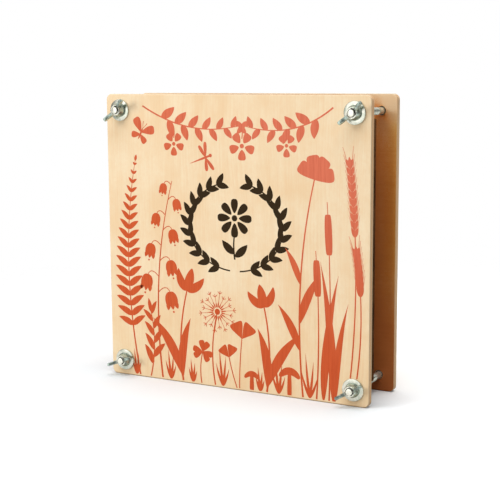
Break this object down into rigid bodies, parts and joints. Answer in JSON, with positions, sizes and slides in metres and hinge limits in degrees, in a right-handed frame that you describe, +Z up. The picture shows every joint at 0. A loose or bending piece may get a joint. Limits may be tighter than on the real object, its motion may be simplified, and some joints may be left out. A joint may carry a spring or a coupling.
{
  "type": "flower press",
  "caption": "Square plywood flower press: corner bolts carry the boards, and wing nuts draw the front board back onto a stack of corrugated card and blotting paper.",
  "frame": {"origin": "middle of the footprint, on the surface that the press stands on", "axes": "+Z up; +Y along the bolts, from the front board with the wing nuts to the back board; +X to the right as seen from the front"},
  "size_m": [0.2, 0.0604, 0.2],
  "materials": {
    "birch_ply": "satin",
    "zinc_steel": "satin",
    "card": "matte",
    "blotting_paper": "matte"
  },
  "bodies": {
    "back": {"back_board": "birch_ply", "bolt_top_left": "zinc_steel", "bolt_top_right": "zinc_steel", "bolt_bottom_left": "zinc_steel", "bolt_bottom_right": "zinc_steel"},
    "front": {"front_board": "birch_ply", "washer_top_left": "zinc_steel", "washer_top_right": "zinc_steel", "washer_bottom_left": "zinc_steel", "washer_bottom_right": "zinc_steel", "card_1": "card", "card_2": "card", "card_3": "card", "card_4": "card", "card_5": "card", "paper_1": "blotting_paper", "paper_2": "blotting_paper", "paper_3": "blotting_paper", "paper_4": "blotting_paper", "paper_5": "blotting_paper", "paper_6": "blotting_paper", "paper_7": "blotting_paper", "paper_8": "blotting_paper"},
    "nut_top_left": {"wing_nut_top_left": "zinc_steel"},
    "nut_top_right": {"wing_nut_top_right": "zinc_steel"},
    "nut_bottom_left": {"wing_nut_bottom_left": "zinc_steel"},
    "nut_bottom_right": {"wing_nut_bottom_right": "zinc_steel"}
  },
  "joints": [
    {"name": "press_close", "type": "slide", "parent": "back", "child": "front", "axis": [0, 1, 0], "range_m": [0, 0.0254]},
    {"name": "wing_nut_top_left_turn", "type": "hinge", "parent": "front", "child": "nut_top_left", "pos_m": [-0.0889, -0.02145, 0.1889], "axis": [0, 1, 0], "range_deg": [0, 11430.5]},
    {"name": "wing_nut_top_right_turn", "type": "hinge", "parent": "front", "child": "nut_top_right", "pos_m": [0.0889, -0.02145, 0.1889], "axis": [0, 1, 0], "range_deg": [0, 11430.5]},
    {"name": "wing_nut_bottom_left_turn", "type": "hinge", "parent": "front", "child": "nut_bottom_left", "pos_m": [-0.0889, -0.02145, 0.0111], "axis": [0, 1, 0], "range_deg": [0, 11430.5]},
    {"name": "wing_nut_bottom_right_turn", "type": "hinge", "parent": "front", "child": "nut_bottom_right", "pos_m": [0.0889, -0.02145, 0.0111], "axis": [0, 1, 0], "range_deg": [0, 11430.5]}
  ],
  "couplings": [
    {"joint": "wing_nut_top_left_turn", "follows": "press_close", "rad_per_m": 7854},
    {"joint": "wing_nut_top_right_turn", "follows": "press_close", "rad_per_m": 7854},
    {"joint": "wing_nut_bottom_left_turn", "follows": "press_close", "rad_per_m": 7854},
    {"joint": "wing_nut_bottom_right_turn", "follows": "press_close", "rad_per_m": 7854}
  ]
}
